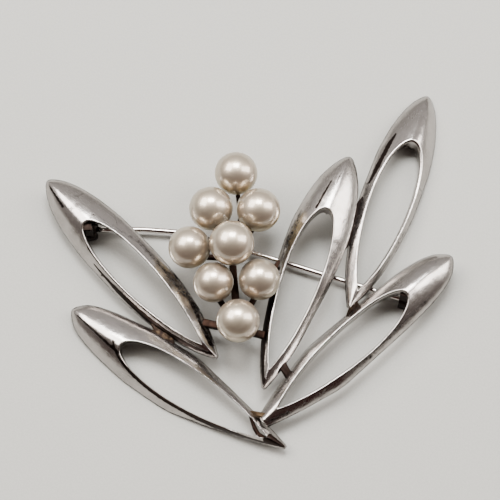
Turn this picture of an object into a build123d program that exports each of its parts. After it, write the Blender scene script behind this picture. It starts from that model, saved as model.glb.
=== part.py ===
from build123d import *
import os
from math import cos, radians, sin

# A silver brooch of five open, hollow leaves round a bunch of eight pearls. The pin on its back hangs
# on a rivet under the upper left leaf and lies in a hook under the lower right leaf.
# Millimetres. X to the right, Y away from the wearer's lower edge, Z up from the table that the brooch
# lies on, face up. The origin is on the table, under the middle of the brooch.

# Leaves
LEAF_LENGTH = 37.2
LEAF_WIDTH = 8.7
LEAF_DOME = 3.0
LEAF_WALL = 0.9
LIP_WIDTH = 0.55
LIP_DEPTH = 1.5
LEAF_LIFT = 2.7

# Pearls and their seats
PEARL_DIAMETER = 6.25
PEARL_BED = 3.85
PEG_RADIUS = 0.4
PEG_DEPTH = 2.4
PEG_CLEARANCE = 0.05
SEAT_CLEARANCE = 0.03
CUP_RADIUS = 1.55
CUP_FLOOR = 0.4
CUP_RIM = 0.3
STEM_HEIGHT = 3.1
STEM_WIDTH = 1.1
STEM_DEPTH = 0.9
BRANCH_RADIUS = 0.45
STRUT_RADIUS = 0.55

# Pin, hinge and catch
PIN_RADIUS = 0.4
PIN_HEIGHT = 1.3
PIN_POINT_START = 0.4
PIN_BEND_RADIUS = 20.0
PIN_OVERHANG = 3.0
EYE_RADIUS = 1.05
EYE_WIDTH = 1.0
RIVET_RADIUS = 0.4
RIVET_CLEARANCE = 0.05
RIVET_HEAD_RADIUS = 0.75
RIVET_HEAD_HEIGHT = 0.3
LUG_RADIUS = 1.25
LUG_WIDTH = 0.7
LUG_GAP = 0.1
PIECE_GAP = 0.02
HOOK_WALL = 0.55
HOOK_WIDTH = 1.6
HOOK_CLEARANCE = 0.12
PLATE_SIZE = 1.5
PLATE_DEPTH = 0.7

# A leaf's cross section is two arcs that meet at the ridge. Each passes through this shoulder point,
# given as shares of the half width and of the height.
SHOULDER_ACROSS = 0.56
SHOULDER_UP = 0.66

# Where each leaf lies. x, y: its blunt end, as shares of LEAF_LENGTH. lift: the height of its edge
# there, as a share of LEAF_LIFT. heading: the way to its tip, in degrees from X. dip: how far it
# leans down to the tip, in degrees. roll: its turn about its own length, left edge up, in degrees.
# width: its width as a share of LEAF_WIDTH. bow: how far its middle stands to the left of a straight
# line, as a share of LEAF_WIDTH. opening: half the opening's width, as a share of LEAF_WIDTH.
# shift: how far the opening stands to the left, as a share of LEAF_WIDTH.
LEAF_COLUMNS = ("x", "y", "lift", "heading", "dip", "roll", "width", "bow", "opening", "shift")
LEAF_ROWS = {
    "upper_left": (-0.804, 0.341, 1.04, -47.2, 0.3, 14.0, 0.985, 0.0, 0.29, -0.02),
    "lower_left": (-0.694, -0.183, 0.43, -33.7, -0.2, 14.0, 1.02, -0.05, 0.325, -0.01),
    "centre": (0.395, 0.419, 1.85, -110.2, 3.6, 0.0, 1.02, -0.04, 0.303, 0.0),
    "upper_right": (0.723, 0.737, 0.085, -110.1, -5.0, -11.0, 0.99, 0.0, 0.335, 0.02),
    "lower_right": (0.790, 0.022, 1.03, -138.0, 0.6, 1.5, 0.90, 0.0, 0.298, 0.02),
}

# Sections along a leaf, from the blunt end to the tip. Each leaf's column holds the half width there,
# as a share of half its own width. dome: the height, as a share of LEAF_DOME.
STATIONS = (0.0, 0.05, 0.12, 0.22, 0.35, 0.50, 0.65, 0.80, 0.92, 1.0)
DOME_SHARES = (0.16, 0.44, 0.68, 0.87, 0.98, 1.0, 0.94, 0.76, 0.50, 0.22)
WIDTH_SHARES = {
    "upper_left": (0.10, 0.41, 0.66, 0.86, 0.98, 1.0, 0.94, 0.73, 0.40, 0.07),
    "lower_left": (0.10, 0.46, 0.67, 0.84, 0.98, 1.0, 0.80, 0.52, 0.27, 0.07),
    "centre": (0.10, 0.41, 0.68, 0.88, 1.0, 0.96, 0.80, 0.61, 0.33, 0.07),
    "upper_right": (0.10, 0.41, 0.66, 0.87, 0.99, 1.0, 0.90, 0.69, 0.37, 0.07),
    "lower_right": (0.12, 0.52, 0.75, 0.89, 0.96, 0.98, 1.0, 0.76, 0.48, 0.25),
}
HOLLOW_FIRST = 2
HOLLOW_LAST = 7

# The opening: places along the leaf as shares of its length, half widths as shares of its widest.
OPENING_START = 0.255
OPENING_END = 0.92
OPENING_ROWS = ((0.30, 0.60), (0.37, 0.86), (0.48, 1.0), (0.60, 0.96), (0.72, 0.74), (0.83, 0.40))

# Pearls. across, away: from the bottom pearl, as shares of PEARL_DIAMETER. lift: how far the seat
# stands above PEARL_BED, as a share of PEARL_DIAMETER. size: as a share of PEARL_DIAMETER.
CLUSTER_X = -0.046 * LEAF_LENGTH
CLUSTER_Y = -0.281 * LEAF_LENGTH
PEARL_COLUMNS = ("across", "away", "lift", "size")
PEARL_ROWS = {
    "pearl_1": (-0.05, 3.62, 0.00, 1.010),
    "pearl_2": (-0.63, 2.74, 0.01, 1.025),
    "pearl_3": (0.47, 2.69, 0.04, 1.025),
    "pearl_4": (-1.12, 1.79, 0.00, 0.985),
    "pearl_5": (-0.14, 1.74, 0.40, 1.040),
    "pearl_6": (-0.565, 0.95, 0.00, 0.935),
    "pearl_7": (0.49, 1.00, 0.04, 0.960),
    "pearl_8": (0.00, 0.00, 0.04, 1.000),
}

LEAVES = {name: dict(zip(LEAF_COLUMNS, row)) for name, row in LEAF_ROWS.items()}
PEARLS = {name: dict(zip(PEARL_COLUMNS, row)) for name, row in PEARL_ROWS.items()}


def leaf_plane(name):
    """The leaf's own plane: origin at the blunt end, X along the leaf, Y to its left, Z out of its face."""
    leaf = LEAVES[name]
    heading = radians(leaf["heading"])
    dip = radians(leaf["dip"])
    roll = radians(leaf["roll"])
    along = Vector(cos(dip) * cos(heading), cos(dip) * sin(heading), -sin(dip))
    left = Vector(-sin(heading), cos(heading), 0)
    face = along.cross(left) * cos(roll) - left * sin(roll)
    blunt_end = (leaf["x"] * LEAF_LENGTH, leaf["y"] * LEAF_LENGTH, leaf["lift"] * LEAF_LIFT)
    return Plane(origin=blunt_end, x_dir=along, z_dir=face)


def table_value(share, stations, values):
    """The value at a place between two rows of a table."""
    for low, high, first, last in zip(stations, stations[1:], values, values[1:]):
        if share <= high:
            return first + (last - first) * (share - low) / (high - low)
    return values[-1]


def half_width(name, share):
    return table_value(share, STATIONS, WIDTH_SHARES[name]) * LEAVES[name]["width"] * LEAF_WIDTH / 2


def dome_height(share):
    return table_value(share, STATIONS, DOME_SHARES) * LEAF_DOME


def bow(name, share):
    return LEAVES[name]["bow"] * LEAF_WIDTH * 4 * share * (1 - share)


def leaf_point(name, share, across, up):
    """A point in a leaf: share along it, across and up in millimetres from its middle line."""
    return leaf_plane(name).from_local_coords((share * LEAF_LENGTH, bow(name, share) + across, up))


def edge_point(name, share, side):
    """A point inside the lower wall of a leaf, on its left (side 1) or its right (side -1)."""
    return leaf_point(name, share, side * (half_width(name, share) - LEAF_WALL * 0.6), LEAF_WALL * 0.4)


def dome_section(name, share, width, height, foot):
    """One cross section of a leaf, standing on its edge plane or reaching below it by the foot."""
    plane = leaf_plane(name)
    centre = plane.from_local_coords((share * LEAF_LENGTH, bow(name, share), 0))
    with BuildSketch(Plane(origin=centre, x_dir=plane.y_dir, z_dir=plane.x_dir)) as section:
        with BuildLine():
            ThreePointArc((width, 0), (width * SHOULDER_ACROSS, height * SHOULDER_UP), (0, height))
            ThreePointArc((0, height), (-width * SHOULDER_ACROSS, height * SHOULDER_UP), (-width, 0))
            if foot:
                Polyline((-width, 0), (-width, -foot), (width, -foot), (width, 0))
            else:
                Line((-width, 0), (width, 0))
        make_face()
    return section.sketch


def opening_outline(name, grow):
    """The outline of the opening, one curve from its point round its blunt end and back, made larger by grow."""
    leaf = LEAVES[name]
    widest = leaf["opening"] * LEAF_WIDTH
    rows = [(share, widest * width + grow) for share, width in OPENING_ROWS]

    def spot(share, across, extra):
        middle = bow(name, share) + leaf["shift"] * LEAF_WIDTH
        return (share * LEAF_LENGTH + extra, middle + across)

    start = spot(OPENING_START, 0, -grow)
    end = spot(OPENING_END, 0, 2 * grow)
    left = [spot(share, half, 0) for share, half in rows]
    right = [spot(share, -half, 0) for share, half in rows]
    with BuildLine() as outline:
        Spline(end, *reversed(right), start, *left, end)
    return outline.line


def make_leaf(name):
    """A hollow domed leaf, open below, with a lipped opening cut through its ridge."""
    plane = leaf_plane(name)
    outer = []
    inner = []
    for row, share in enumerate(STATIONS):
        half = half_width(name, share)
        height = dome_height(share)
        outer.append(dome_section(name, share, half, height, 0))
        if HOLLOW_FIRST <= row <= HOLLOW_LAST:
            inner.append(dome_section(name, share, half - LEAF_WALL * 1.2, height - LEAF_WALL, LEAF_WALL))
    with BuildPart() as hollow:
        loft(inner)
        with BuildSketch(plane.offset(LEAF_DOME - LIP_DEPTH - LEAF_WALL)):
            add(opening_outline(name, LIP_WIDTH))
            make_face()
        extrude(amount=LEAF_DOME + LIP_DEPTH, mode=Mode.SUBTRACT)
    with BuildPart() as leaf:
        loft(outer)
        add(hollow.part, mode=Mode.SUBTRACT)
        with BuildSketch(plane.offset(-LEAF_DOME)):
            add(opening_outline(name, 0))
            make_face()
        extrude(amount=3 * LEAF_DOME, mode=Mode.SUBTRACT)
    return leaf.part


def make_rod(start, end, radius):
    """A round rod between two points."""
    way = Vector(*end) - Vector(*start)
    with BuildPart() as rod:
        with BuildSketch(Plane(origin=start, z_dir=way)):
            Circle(radius)
        extrude(amount=way.length)
    return rod.part


def make_bar(start, end, width, depth):
    """A square-edged bar between two points, with its depth upright."""
    way = Vector(*end) - Vector(*start)
    level = Vector(-way.Y, way.X, 0)
    with BuildPart() as bar:
        with BuildSketch(Plane(origin=start, x_dir=level, z_dir=way)):
            Rectangle(width, depth)
        extrude(amount=way.length)
    return bar.part


def pearl_radius(name):
    return PEARLS[name]["size"] * PEARL_DIAMETER / 2


def seat_point(name):
    """The lowest point of a pearl."""
    pearl = PEARLS[name]
    return Vector(
        CLUSTER_X + pearl["across"] * PEARL_DIAMETER,
        CLUSTER_Y + pearl["away"] * PEARL_DIAMETER,
        PEARL_BED + pearl["lift"] * PEARL_DIAMETER,
    )


def stem_point(name):
    """The point of the stem's height that lies under a pearl."""
    seat = seat_point(name)
    return Vector(seat.X, seat.Y, STEM_HEIGHT)


def make_pearl(name):
    """A pearl, drilled from below for its peg."""
    radius = pearl_radius(name)
    seat = seat_point(name)
    with BuildPart() as pearl:
        with Locations(seat + Vector(0, 0, radius)):
            Sphere(radius)
        with BuildSketch(Plane(origin=seat - Vector(0, 0, 1))):
            Circle(PEG_RADIUS + PEG_CLEARANCE)
        extrude(amount=1 + PEG_DEPTH + PEG_CLEARANCE, mode=Mode.SUBTRACT)
    return pearl.part


def make_seat(name):
    """The cup under a pearl, with its peg and the post down to the stem."""
    radius = pearl_radius(name)
    seat = seat_point(name)
    floor = seat - Vector(0, 0, CUP_FLOOR)
    foot = stem_point(name)
    with BuildPart() as cup:
        with BuildSketch(Plane(origin=floor)):
            Circle(CUP_RADIUS)
        extrude(amount=CUP_FLOOR + CUP_RIM)
        with Locations(seat + Vector(0, 0, radius)):
            Sphere(radius + SEAT_CLEARANCE, mode=Mode.SUBTRACT)
        with BuildSketch(Plane(origin=foot)):
            Circle(BRANCH_RADIUS)
        extrude(amount=seat.Z - CUP_FLOOR / 2 - foot.Z)
        with BuildSketch(Plane(origin=seat - Vector(0, 0, CUP_FLOOR / 2))):
            Circle(PEG_RADIUS)
        extrude(amount=CUP_FLOOR / 2 + PEG_DEPTH)
    return cup.part


# Places of the hinge and the catch: each under the round end of its leaf's opening.
HINGE_SHARE = 0.256
HINGE_ACROSS = -0.2
CATCH_SHARE = 0.248
hinge_spot = leaf_point("upper_left", HINGE_SHARE, HINGE_ACROSS, 0)
catch_spot = leaf_point("lower_right", CATCH_SHARE, 0, 0)
hinge_centre = Vector(hinge_spot.X, hinge_spot.Y, PIN_HEIGHT)
catch_centre = Vector(catch_spot.X, catch_spot.Y, PIN_HEIGHT)
span = catch_centre.X - hinge_centre.X
lug_offset = EYE_WIDTH / 2 + LUG_GAP + LUG_WIDTH / 2

# The pin's way from hinge to catch, seen from above: straight on from the hinge, then two slow bends.
pin_bends = [
    hinge_centre + Vector(0.17 * span, 0, 0),
    hinge_centre + Vector(0.32 * span, -0.012 * span, 0),
]
pin_run = (catch_centre - pin_bends[1]).normalized()
pin_level = Vector(-pin_run.Y, pin_run.X, 0)
pin_end = catch_centre + pin_run * PIN_OVERHANG
pin_shoulder = catch_centre - pin_run * (HOOK_WIDTH / 2 + PIN_POINT_START)


def make_hinge():
    """Two lugs on a plate, soldered inside the upper left leaf, drilled for the rivet."""
    roof = leaf_point("upper_left", HINGE_SHARE - 0.03, 0, 0).Z + dome_height(HINGE_SHARE) - LEAF_WALL
    plate_top = roof + 0.2 * LEAF_WALL
    plate_bottom = plate_top - PLATE_DEPTH
    lug_length = plate_bottom + PLATE_DEPTH / 2 - PIN_HEIGHT
    with BuildPart() as hinge:
        with BuildSketch(Plane.XY.offset(plate_bottom)):
            with Locations((hinge_centre.X - LUG_RADIUS / 5, hinge_centre.Y)):
                Rectangle(PLATE_SIZE, 2 * lug_offset + LUG_WIDTH)
        extrude(amount=PLATE_DEPTH)
        for side in (-1, 1):
            face_y = hinge_centre.Y + side * lug_offset + LUG_WIDTH / 2
            with BuildSketch(Plane(origin=(hinge_centre.X, face_y, PIN_HEIGHT), x_dir=(1, 0, 0), z_dir=(0, -1, 0))):
                Circle(LUG_RADIUS)
                with Locations((-LUG_RADIUS * 0.25, lug_length / 2)):
                    Rectangle(LUG_RADIUS * 1.5, lug_length)
                Circle(RIVET_RADIUS + PIECE_GAP, mode=Mode.SUBTRACT)
            extrude(amount=LUG_WIDTH)
    return hinge.part


def make_catch():
    """A hook, open downwards, on a shank soldered inside the lower right leaf."""
    inside = PIN_RADIUS + HOOK_CLEARANCE
    outside = inside + HOOK_WALL
    roof = leaf_point("lower_right", CATCH_SHARE, 0, 0).Z + dome_height(CATCH_SHARE) - LEAF_WALL
    start = catch_centre - pin_run * (HOOK_WIDTH / 2)
    with BuildPart() as catch:
        with BuildSketch(Plane(origin=start, x_dir=pin_level, z_dir=pin_run)):
            Circle(outside)
            with Locations((0, -PIN_HEIGHT / 2)):
                Rectangle(2 * outside, PIN_HEIGHT)
            Circle(inside, mode=Mode.SUBTRACT)
            with Locations((0, -PIN_HEIGHT)):
                Rectangle(2 * inside, 2 * PIN_HEIGHT, mode=Mode.SUBTRACT)
            with Locations((0, (inside + roof - PIN_HEIGHT) / 2 + HOOK_WALL / 4)):
                Rectangle(2 * HOOK_WALL, roof - PIN_HEIGHT - inside)
        extrude(amount=HOOK_WIDTH)
    return catch.part


# Solder joints and struts: one row each, from one place to another, with the rod's radius.
joints = [
    (edge_point("upper_left", 0.74, -1), edge_point("lower_left", 0.37, 1), STRUT_RADIUS),
    (edge_point("centre", 0.24, 1), edge_point("upper_right", 0.56, -1), STRUT_RADIUS),
    (edge_point("centre", 0.34, 1), edge_point("upper_right", 0.66, -1), STRUT_RADIUS),
    (leaf_point("upper_right", 0.96, 0, 0.2), edge_point("lower_right", 0.46, -1), STRUT_RADIUS),
    (leaf_point("lower_right", 0.98, 0, 0.3), edge_point("lower_left", 0.84, 1), STRUT_RADIUS * 1.4),
    (edge_point("centre", 0.88, 1), edge_point("lower_right", 0.87, -1), STRUT_RADIUS),
    (edge_point("centre", 0.83, 1), edge_point("lower_right", 0.81, -1), STRUT_RADIUS * 0.8),
    (edge_point("lower_left", 0.86, 1), edge_point("lower_left", 0.88, -1), STRUT_RADIUS),
]

# The pearl stem's arms: from the stem to each pearl beside it, and out to the leaves.
branches = [
    ("pearl_4", "pearl_5"),
    ("pearl_2", "pearl_5"),
    ("pearl_3", "pearl_5"),
    ("pearl_6", "pearl_8"),
    ("pearl_7", "pearl_8"),
]

leaves = {name: make_leaf(name) for name in LEAVES}
seats = {name: make_seat(name) for name in PEARLS}
rods = [make_rod(start, end, radius) for start, end, radius in joints]
arms = [make_rod(stem_point(end), stem_point(start), BRANCH_RADIUS) for end, start in branches]
stem_parts = [
    make_bar(stem_point("pearl_8"), stem_point("pearl_5"), STEM_WIDTH, STEM_DEPTH),
    make_bar(stem_point("pearl_5"), stem_point("pearl_1"), STEM_WIDTH, STEM_DEPTH),
    make_bar(stem_point("pearl_8"), edge_point("upper_left", 0.86, 1), STEM_WIDTH, STEM_DEPTH),
    make_bar(stem_point("pearl_8"), edge_point("centre", 0.80, -1), STEM_WIDTH, STEM_DEPTH),
    make_bar(stem_point("pearl_7"), edge_point("centre", 0.50, -1), STEM_DEPTH, STEM_DEPTH),
]
hinge = make_hinge()
catch = make_catch()

with BuildPart() as leaf_spray:
    add([*leaves.values(), *seats.values(), *rods, *arms, *stem_parts, hinge, catch])

with BuildPart() as hinge_rivet:
    rivet_length = 2 * lug_offset + LUG_WIDTH + 2 * PIECE_GAP
    rivet_start = hinge_centre - Vector(0, rivet_length / 2, 0)
    head_start = rivet_start - Vector(0, RIVET_HEAD_HEIGHT, 0)
    with BuildSketch(Plane(origin=rivet_start, z_dir=(0, 1, 0))):
        Circle(RIVET_RADIUS)
    extrude(amount=rivet_length)
    with BuildSketch(Plane(origin=head_start, z_dir=(0, 1, 0))):
        Circle(RIVET_HEAD_RADIUS)
    extrude(amount=RIVET_HEAD_HEIGHT)
    with BuildSketch(Plane(origin=rivet_start + Vector(0, rivet_length, 0), z_dir=(0, 1, 0))):
        Circle(RIVET_HEAD_RADIUS)
    extrude(amount=RIVET_HEAD_HEIGHT)

with BuildPart() as pin_stem:
    with BuildLine():
        FilletPolyline(hinge_centre, *pin_bends, pin_shoulder, radius=PIN_BEND_RADIUS)
    with BuildSketch(Plane(origin=hinge_centre, z_dir=(1, 0, 0))):
        Circle(PIN_RADIUS)
    sweep()
    with BuildSketch(Plane(origin=pin_shoulder, z_dir=pin_run)):
        Circle(PIN_RADIUS)
    with BuildSketch(Plane(origin=pin_end, z_dir=pin_run)):
        Circle(PIN_RADIUS * 0.3)
    loft()
    with BuildSketch(Plane(origin=hinge_centre - Vector(0, EYE_WIDTH / 2, 0), z_dir=(0, 1, 0))):
        Circle(EYE_RADIUS)
    extrude(amount=EYE_WIDTH)
    with BuildSketch(Plane(origin=hinge_centre - Vector(0, EYE_WIDTH, 0), z_dir=(0, 1, 0))):
        Circle(RIVET_RADIUS + RIVET_CLEARANCE)
    extrude(amount=2 * EYE_WIDTH, mode=Mode.SUBTRACT)

os.makedirs("parts", exist_ok=True)

leaf_spray.part.label = "leaf_spray"
export_step(leaf_spray.part, "parts/leaf_spray.step")

hinge_rivet.part.label = "hinge_rivet"
export_step(hinge_rivet.part, "parts/hinge_rivet.step")

pin_stem.part.label = "pin_stem"
export_step(pin_stem.part, "parts/pin_stem.step")

for name in PEARLS:
    pearl = make_pearl(name)
    pearl.label = name
    export_step(pearl, "parts/" + name + ".step")
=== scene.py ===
# %% [markdown]
# # A silver brooch with leaves and pearls
# Five open leaves are cast in sterling silver, soldered together, filed and polished. Eight cultured
# pearls sit on pegs along a short stem. A pin of hard-drawn silver wire turns on a rivet at the back.
# This lesson builds the same pieces as meshes over an exact frame, and finishes each one.

# %% Load the frame
from functools import partial
from math import cos, exp, hypot, pi, radians, sin, sqrt, tan

import bmesh
import bpy
from mathutils import Matrix, Vector, noise


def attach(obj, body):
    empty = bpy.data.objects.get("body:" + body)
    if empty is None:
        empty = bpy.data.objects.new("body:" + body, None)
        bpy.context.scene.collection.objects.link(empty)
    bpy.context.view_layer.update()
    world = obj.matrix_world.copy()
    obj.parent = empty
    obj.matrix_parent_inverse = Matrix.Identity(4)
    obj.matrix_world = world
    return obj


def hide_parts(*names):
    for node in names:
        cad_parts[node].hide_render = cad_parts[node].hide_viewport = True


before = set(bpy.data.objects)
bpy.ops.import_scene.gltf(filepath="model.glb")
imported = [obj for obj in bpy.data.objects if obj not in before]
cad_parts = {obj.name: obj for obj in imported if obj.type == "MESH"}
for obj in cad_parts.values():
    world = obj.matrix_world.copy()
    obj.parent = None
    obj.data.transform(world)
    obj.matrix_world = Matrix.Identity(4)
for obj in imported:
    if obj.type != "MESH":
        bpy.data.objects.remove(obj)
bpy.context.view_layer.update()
MM = 0.001
NOISE_SEED = 61
noise.seed_set(NOISE_SEED)  # else the fine wander of the solder and the stem would differ from run to run
X, Y, Z = Vector((1, 0, 0)), Vector((0, 1, 0)), Vector((0, 0, 1))

# %% [markdown]
# ## The brooch's own measures
# A maker cuts all five leaves from one pattern and then bends, tilts and solders each of them. So one
# table says where each leaf lies, and a second one says how wide it is along its length. All lengths
# are in millimetres or in shares of the leaf, and they are the same as in the exact model.

# %% Tables of the leaves and the pearls
LEAF_LENGTH = 37.2
LEAF_WIDTH = 8.7
LEAF_DOME = 3.0
LEAF_WALL = 0.9
LIP_WIDTH = 0.55
LIP_FLOOR = 0.6
LEAF_LIFT = 2.7

LEAF_COLUMNS = ("x", "y", "lift", "heading", "dip", "roll", "width", "bow", "opening", "shift", "bevel")
LEAF_ROWS = {
    "upper_left": (-0.804, 0.341, 1.04, -47.2, 0.3, 14.0, 0.985, 0.0, 0.29, -0.02, 0.20),
    "lower_left": (-0.694, -0.183, 0.43, -33.7, -0.2, 14.0, 1.02, -0.05, 0.325, -0.01, 0.15),
    "centre": (0.395, 0.419, 1.85, -110.2, 3.6, 0.0, 1.02, -0.04, 0.303, 0.0, 0.25),
    "upper_right": (0.723, 0.737, 0.085, -110.1, -5.0, -11.0, 0.99, 0.0, 0.335, 0.02, 0.42),
    "lower_right": (0.790, 0.022, 1.03, -138.0, 0.6, 1.5, 0.90, 0.0, 0.298, 0.02, 0.28),
}
LEAVES = {name: dict(zip(LEAF_COLUMNS, row)) for name, row in LEAF_ROWS.items()}

STATIONS = (0.0, 0.05, 0.12, 0.22, 0.35, 0.50, 0.65, 0.80, 0.92, 1.0)
DOME_SHARES = (0.16, 0.44, 0.68, 0.87, 0.98, 1.0, 0.94, 0.76, 0.50, 0.22)
WIDTH_SHARES = {
    "upper_left": (0.10, 0.41, 0.66, 0.86, 0.98, 1.0, 0.94, 0.73, 0.40, 0.07),
    "lower_left": (0.10, 0.46, 0.67, 0.84, 0.98, 1.0, 0.80, 0.52, 0.27, 0.07),
    "centre": (0.10, 0.41, 0.68, 0.88, 1.0, 0.96, 0.80, 0.61, 0.33, 0.07),
    "upper_right": (0.10, 0.41, 0.66, 0.87, 0.99, 1.0, 0.90, 0.69, 0.37, 0.07),
    "lower_right": (0.12, 0.52, 0.75, 0.89, 0.96, 0.98, 1.0, 0.76, 0.48, 0.25),
}
RIDGE_SOFT = 0.20  # how round the ridge is, as a share of the leaf's half width
RIDGE_POWER, SHOULDER_POWER = 1.2, 0.72
END_CROWN = 0.35  # the share of the dome's height that is left at the very ends
BLUNT_ROUND, TIP_ROUND = 0.012, 0.006  # shares of the leaf over which its two ends are rounded off
OPENING_START = 0.255
OPENING_END = 0.92
OPENING_LENGTH = (OPENING_END - OPENING_START) * LEAF_LENGTH
ROUND_POWER, POINT_POWER = 0.5, 0.82
OPENING_PEAK = 0.4165  # the most that the curve with those two powers reaches

PEARL_DIAMETER = 6.25
PEARL_BED = 3.85
CLUSTER = (-0.046 * LEAF_LENGTH, -0.281 * LEAF_LENGTH)
PEARL_COLUMNS = ("across", "away", "lift", "size", "yellow_low_down")
PEARL_ROWS = {
    "pearl_1": (-0.05, 3.62, 0.00, 1.010, 0.8),
    "pearl_2": (-0.63, 2.74, 0.01, 1.025, 0.4),
    "pearl_3": (0.47, 2.69, 0.04, 1.025, 1.0),
    "pearl_4": (-1.12, 1.79, 0.00, 0.985, 0.5),
    "pearl_5": (-0.14, 1.74, 0.40, 1.040, 0.2),
    "pearl_6": (-0.565, 0.95, 0.00, 0.935, 0.4),
    "pearl_7": (0.49, 1.00, 0.04, 0.960, 0.5),
    "pearl_8": (0.00, 0.00, 0.04, 1.000, 0.3),
}
PEARLS = {name: dict(zip(PEARL_COLUMNS, row)) for name, row in PEARL_ROWS.items()}
print(len(LEAVES), "leaves and", len(PEARLS), "pearls")

# %% [markdown]
# ## Smooth values between the rows of a table
# A leaf's outline has no corners between its stations. A cubic with gentle slopes goes through each
# value and never swings past it, which a plain spline would do.

# %% Values between rows
def smooth_value(place, places, values):
    """The value at a place, on a smooth curve through a table's rows."""
    steps = [(b - a) / (q - p) for p, q, a, b in zip(places, places[1:], values, values[1:])]
    slopes = [steps[0]]
    for before, after in zip(steps, steps[1:]):
        slopes.append(2 * before * after / (before + after) if before * after > 0 else 0.0)
    slopes.append(steps[-1])
    for row in range(len(places) - 1):
        if place <= places[row + 1]:
            break
    gap = places[row + 1] - places[row]
    t = (place - places[row]) / gap
    return (
        (1 + 2 * t) * (1 - t) ** 2 * values[row]
        + t * (1 - t) ** 2 * gap * slopes[row]
        + t * t * (3 - 2 * t) * values[row + 1]
        + t * t * (t - 1) * gap * slopes[row + 1]
    )


def ease(low, high, value):
    """0 below low, 1 above high, and a smooth step between them."""
    t = min(1.0, max(0.0, (value - low) / (high - low)))
    return t * t * (3 - 2 * t)


def leaf_axes(name):
    """A leaf's blunt end and its three directions: along it, to its left, and out of its face."""
    leaf = LEAVES[name]
    heading, dip, roll = (radians(leaf[key]) for key in ("heading", "dip", "roll"))
    along = Vector((cos(dip) * cos(heading), cos(dip) * sin(heading), -sin(dip)))
    left = Vector((-sin(heading), cos(heading), 0))
    face = along.cross(left) * cos(roll) - left * sin(roll)
    start = Vector((leaf["x"] * LEAF_LENGTH, leaf["y"] * LEAF_LENGTH, leaf["lift"] * LEAF_LIFT))
    return start, along, face.cross(along), face


def leaf_spot(name, share, across, up):
    """A point of a leaf in millimetres: share along it, then across and up from its middle line."""
    start, along, side, face = leaf_axes(name)
    return start + along * (share * LEAF_LENGTH) + side * (bow(name, share) + across) + face * up


def bow(name, share):
    return LEAVES[name]["bow"] * LEAF_WIDTH * 4 * share * (1 - share)


def end_cap(share):
    """Rounds the outline off at its two ends."""
    blunt = min(1.0, share / BLUNT_ROUND)
    tip = min(1.0, (1 - share) / TIP_ROUND)
    return sqrt(1 - (1 - blunt) ** 2) * sqrt(1 - (1 - tip) ** 2)


def half_width(name, share):
    shares = smooth_value(share, STATIONS, WIDTH_SHARES[name])
    return max(0.01, shares * end_cap(share) * LEAVES[name]["width"] * LEAF_WIDTH / 2)


def opening_half(name, along):
    """Half the opening's width. along is 0 at its round end and 1 at its point."""
    shape = along ** ROUND_POWER * (1 - along) ** POINT_POWER / OPENING_PEAK
    return LEAVES[name]["opening"] * LEAF_WIDTH * shape


def dome_height(name, share, across):
    """The height of a leaf's face: two slopes that meet in a soft ridge."""
    crown = smooth_value(share, STATIONS, DOME_SHARES) * LEAF_DOME
    crown *= END_CROWN + (1 - END_CROWN) * end_cap(share)
    off = min(1.0, abs(across - bow(name, share)) / half_width(name, share))
    off = (hypot(off, RIDGE_SOFT) - RIDGE_SOFT) / (hypot(1, RIDGE_SOFT) - RIDGE_SOFT)
    return crown * (1 - off ** RIDGE_POWER) ** SHOULDER_POWER


for name in LEAVES:
    widest = 2 * max(half_width(name, place / 50) for place in range(51))
    print(name, "leaf is", round(widest, 2), "mm wide")

# %% [markdown]
# ## Helpers for meshes, nodes and colours
# Each piece is written straight into a mesh in metres, with its place in its vertices. Colours are
# given as sRGB hex, as a paint chart gives them, and turned into the linear values that light needs.

# %% Helpers
def colour(code):
    """A linear colour from an sRGB hex code."""
    parts = [int(code[i:i + 2], 16) / 255 for i in (1, 3, 5)]
    return tuple(p / 12.92 if p <= 0.04045 else ((p + 0.055) / 1.055) ** 2.4 for p in parts) + (1.0,)


def fill(node, sockets):
    """Sets or links a node's inputs, given by name, by number or as a row. A list joins up in one input."""
    for key, value in sockets.items() if isinstance(sockets, dict) else enumerate(sockets):
        for part in value if isinstance(value, list) else [value]:
            if isinstance(part, bpy.types.NodeSocket):
                node.id_data.links.new(part, node.inputs[key])
            else:
                node.inputs[key].default_value = part


def add_node(tree, kind, sockets=(), **settings):
    """Adds a node with its settings and inputs, and gives its outputs. In a tree's function it is add."""
    node = tree.nodes.new(kind)
    for key, value in settings.items():
        setattr(node, key, value)
    fill(node, sockets)
    return node.outputs


def put_in_scene(name, data):
    """An object of a mesh, a light or a camera."""
    made = bpy.data.objects.new(name, data)
    bpy.context.scene.collection.objects.link(made)
    return made


def smooth_piece(name, mesh, material):
    mesh.polygons.foreach_set("use_smooth", [True] * len(mesh.polygons))
    mesh.materials.append(material)
    return put_in_scene(name, mesh)


def mesh_piece(name, points, faces, material, floats=None, closed=True):
    """A piece from points in millimetres, with float values for each point, and all its faces outwards."""
    mesh = bpy.data.meshes.new(name)
    mesh.from_pydata([Vector(p) * MM for p in points], [], faces)
    mesh.validate()
    for key, values in (floats or {}).items():
        mesh.attributes.new(key, "FLOAT", "POINT").data.foreach_set("value", values)
    if closed:
        work = bmesh.new()
        work.from_mesh(mesh)
        bmesh.ops.recalc_face_normals(work, faces=work.faces)
        work.to_mesh(mesh)
        work.free()
    return smooth_piece(name, mesh, material)


def worked_piece(name, work, material):
    """A piece from a bmesh, which is used up."""
    mesh = bpy.data.meshes.new(name)
    work.to_mesh(mesh)
    work.free()
    return smooth_piece(name, mesh, material)


def ring(centre, right, up, radius, sides):
    """Points on a circle."""
    turns = [2 * pi * side / sides for side in range(sides)]
    return [centre + right * (radius * cos(turn)) + up * (radius * sin(turn)) for turn in turns]


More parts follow.
